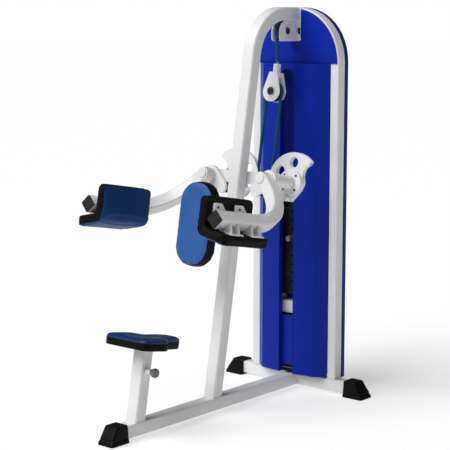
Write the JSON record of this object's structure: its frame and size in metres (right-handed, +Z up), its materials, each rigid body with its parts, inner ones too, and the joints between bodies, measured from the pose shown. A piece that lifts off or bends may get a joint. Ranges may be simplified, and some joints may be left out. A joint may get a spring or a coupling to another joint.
{
  "type": "seated lateral raise machine",
  "caption": "Seated arm-raise gym machine with a selector weight stack tower, leaning post, saddle, chest pad and two cable-driven L-pad arms.",
  "frame": {"origin": "centre of the footprint box on the floor", "axes": "+Z up; +Y from the seat toward the weight tower; +X to the right of a user who faces the tower"},
  "size_m": [0.857, 1.3194, 1.767],
  "materials": {
    "frame_paint": "glossy white powder coat",
    "shroud_blue": "glossy blue moulded cover",
    "rear_blue": "glossy dark blue moulded cover",
    "chest_vinyl": "satin blue vinyl upholstery",
    "pad_vinyl": "satin dark blue vinyl upholstery",
    "black_plastic": "matt black moulding",
    "black_rubber": "matt black rubber",
    "grey_plastic": "matt dark grey moulding",
    "chrome_steel": "bright plated steel",
    "plate_iron": "black enamel on cast iron",
    "cable_jacket": "smooth dark teal jacket",
    "white_rubber": "matt white rubber"
  },
  "bodies": {
    "frame": {"main_beam": "frame_paint", "rear_cross_beam": "frame_paint", "front_post": "frame_paint", "arch_column": "frame_paint", "stack_support_beam": "frame_paint", "pulley_bracket": "frame_paint", "arm_crossbar": "frame_paint", "seat_post_outer": "frame_paint", "front_shroud": "shroud_blue", "upper_cover": "shroud_blue", "rear_cover": "rear_blue", "chest_pad_cushion": "chest_vinyl", "foot_cap_front": "black_plastic", "foot_cap_left": "black_plastic", "foot_cap_right": "black_plastic", "chest_pad_board": "black_plastic", "guide_rod_left": "chrome_steel", "guide_rod_right": "chrome_steel", "weight_plate_01": "plate_iron", "weight_plate_02": "plate_iron", "weight_plate_03": "plate_iron", "weight_plate_04": "plate_iron", "weight_plate_05": "plate_iron", "weight_plate_06": "plate_iron", "cable_over_pulleys": "cable_jacket", "cable_to_block": "cable_jacket", "cable_to_stack": "cable_jacket", "cable_leg_left": "cable_jacket", "cable_leg_right": "cable_jacket", "stack_bumper_left": "white_rubber", "stack_bumper_right": "white_rubber"},
    "arm_right": {"arm_tube_right": "frame_paint", "arm_end_cap_right": "grey_plastic", "arm_shaft_right": "chrome_steel", "stop_bumper_right": "black_rubber", "cam_right": "frame_paint", "arm_pad_board_right": "black_plastic", "arm_pad_cushion_right": "pad_vinyl"},
    "arm_left": {"arm_tube_left": "frame_paint", "arm_end_cap_left": "grey_plastic", "arm_shaft_left": "chrome_steel", "stop_bumper_left": "black_rubber", "cam_left": "frame_paint", "arm_pad_board_left": "black_plastic", "arm_pad_cushion_left": "pad_vinyl"},
    "pulley_block": {"block_yoke": "frame_paint", "cable_block_loop": "cable_jacket"},
    "block_wheel": {"block_wheel": "black_plastic"},
    "lifted_weights": {"weight_head": "plate_iron", "weight_plate_07": "plate_iron", "weight_plate_08": "plate_iron", "weight_plate_09": "plate_iron", "weight_plate_10": "plate_iron"},
    "selector_pin": {"selector_pin": "grey_plastic"},
    "top_pulley_front": {"top_pulley_front": "black_plastic"},
    "top_pulley_rear": {"top_pulley_rear": "black_plastic"},
    "seat": {"seat_post_inner": "frame_paint", "seat_base": "black_plastic", "seat_cushion": "pad_vinyl"},
    "seat_pull_pin": {"seat_pull_pin": "grey_plastic"}
  },
  "joints": [
    {"name": "arm_right_swing", "type": "hinge", "parent": "frame", "child": "arm_right", "pos_m": [0.165, 0.12465, 1.038], "axis": [0, -0.9845, 0.1752], "range_deg": [0, 85]},
    {"name": "arm_left_swing", "type": "hinge", "parent": "frame", "child": "arm_left", "pos_m": [-0.165, 0.12465, 1.038], "axis": [0, 0.9845, -0.1752], "range_deg": [0, 85]},
    {"name": "block_drop", "type": "slide", "parent": "frame", "child": "pulley_block", "axis": [0, -0.1752, -0.9845], "range_m": [0, 0.185], "deforming": ["cable_to_block", "cable_leg_right", "cable_leg_left"]},
    {"name": "stack_lift", "type": "slide", "parent": "frame", "child": "lifted_weights", "axis": [0, 0, 1], "range_m": [0, 0.185], "deforming": ["cable_to_stack"]},
    {"name": "top_pulley_front_spin", "type": "hinge", "parent": "frame", "child": "top_pulley_front", "pos_m": [0, 0.48815, 1.66], "axis": [1, 0, 0], "range_deg": [0, 270]},
    {"name": "top_pulley_rear_spin", "type": "hinge", "parent": "frame", "child": "top_pulley_rear", "pos_m": [0, 0.57315, 1.66], "axis": [1, 0, 0], "range_deg": [0, 270]},
    {"name": "block_wheel_spin", "type": "hinge", "parent": "pulley_block", "child": "block_wheel", "pos_m": [0, 0.43318, 1.39039], "axis": [0, 0.9845, -0.1752], "continuous": true},
    {"name": "selector_pin_pull", "type": "slide", "parent": "lifted_weights", "child": "selector_pin", "axis": [0, -1, 0], "range_m": [0, 0.06]},
    {"name": "seat_height", "type": "slide", "parent": "frame", "child": "seat", "axis": [0, 0.1752, 0.9845], "range_m": [0, 0.1]},
    {"name": "seat_pin_pull", "type": "slide", "parent": "frame", "child": "seat_pull_pin", "axis": [1, 0, 0], "range_m": [0, 0.012], "stiffness_N_per_m": 800}
  ],
  "couplings": [
    {"joint": "arm_left_swing", "follows": "arm_right_swing", "ratio": 1},
    {"joint": "block_drop", "follows": "arm_right_swing", "m_per_rad": 0.124},
    {"joint": "stack_lift", "follows": "arm_right_swing", "m_per_rad": 0.124},
    {"joint": "top_pulley_front_spin", "follows": "arm_right_swing", "ratio": 3.1392},
    {"joint": "top_pulley_rear_spin", "follows": "arm_right_swing", "ratio": 3.1392}
  ]
}
